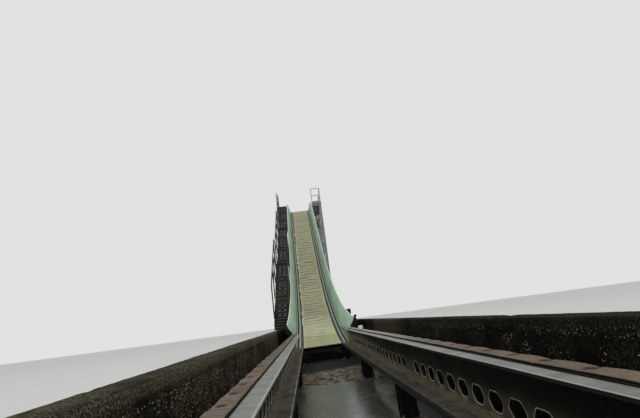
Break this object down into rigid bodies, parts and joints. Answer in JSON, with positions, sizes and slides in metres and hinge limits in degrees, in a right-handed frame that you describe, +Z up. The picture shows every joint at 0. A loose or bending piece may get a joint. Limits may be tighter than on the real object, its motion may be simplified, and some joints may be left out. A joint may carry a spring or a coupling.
{
  "type": "water slide tower with run-out channel",
  "caption": "Water slide for boats: a curved drop from a braced steel tower, with stair, guide tracks and a concrete run-out channel.",
  "frame": {"origin": "middle of the base rectangle, on the level ground under the channel and the tower's feet", "axes": "+X to the right when looking up the slide, +Y up the slide towards the tower, +Z up"},
  "size_m": [3.24, 37.3108, 10.34],
  "materials": {
    "wall_concrete": "rough dark concrete with pale gravel showing",
    "floor_concrete": "wet grey concrete with brown silt",
    "black_steel": "near-black paint, dull and dirty",
    "track_steel": "greenish grey paint, worn, with brown dirt",
    "worn_steel": "bare grey steel polished by wheels",
    "belt_rubber": "brown, cracked, dull",
    "bed_plastic": "pale yellow-green glass fibre, worn to a satin",
    "panel_plastic": "pale mint green glass fibre",
    "edge_plastic": "pale edge trim",
    "grey_steel": "galvanised steel, dull grey",
    "box_plastic": "white moulded box"
  },
  "bodies": {
    "root": {"channel_floor": "floor_concrete", "channel_wall_left": "wall_concrete", "channel_wall_right": "wall_concrete", "channel_end_wall": "wall_concrete", "track_frame_left": "track_steel", "track_frame_right": "track_steel", "guide_web_left": "track_steel", "guide_web_right": "track_steel", "top_plate_left": "worn_steel", "top_plate_right": "worn_steel", "belt_left": "belt_rubber", "belt_right": "belt_rubber", "panel_end_strut_left": "black_steel", "panel_end_strut_right": "black_steel", "sensor_box": "box_plastic", "slide_bed_1": "bed_plastic", "slide_bed_2": "bed_plastic", "slide_bed_3": "bed_plastic", "slide_bed_4": "bed_plastic", "slide_lip": "edge_plastic", "wheel_rail_left_1": "worn_steel", "wheel_rail_left_2": "worn_steel", "wheel_rail_left_3": "worn_steel", "wheel_rail_left_4": "worn_steel", "wheel_rail_right_1": "worn_steel", "wheel_rail_right_2": "worn_steel", "wheel_rail_right_3": "worn_steel", "wheel_rail_right_4": "worn_steel", "side_panel_left": "panel_plastic", "side_panel_right": "panel_plastic", "slide_frame_1": "track_steel", "slide_frame_2": "track_steel", "slide_frame_3": "track_steel", "slide_frame_4": "track_steel", "panel_brackets_left": "black_steel", "panel_brackets_right": "black_steel", "foot_sleeper": "black_steel", "trestle_1": "grey_steel", "trestle_2": "grey_steel", "trestle_3": "grey_steel", "trestle_4": "grey_steel", "tower_side_left": "grey_steel", "tower_side_right": "grey_steel", "tower_cross_1": "grey_steel", "tower_cross_2": "grey_steel", "tower_cross_3": "grey_steel", "deck_joists_left": "grey_steel", "deck_joists_right": "grey_steel", "deck_left": "grey_steel", "deck_right": "grey_steel", "guard_rail_left": "grey_steel", "guard_rail_right": "grey_steel", "stair_flight_1": "black_steel", "stair_flight_2": "black_steel", "stair_flight_3": "black_steel", "stair_landing_1": "black_steel", "stair_landing_2": "black_steel", "stair_rail_1": "black_steel", "stair_rail_2": "black_steel", "stair_rail_3": "black_steel"}
  },
  "joints": []
}
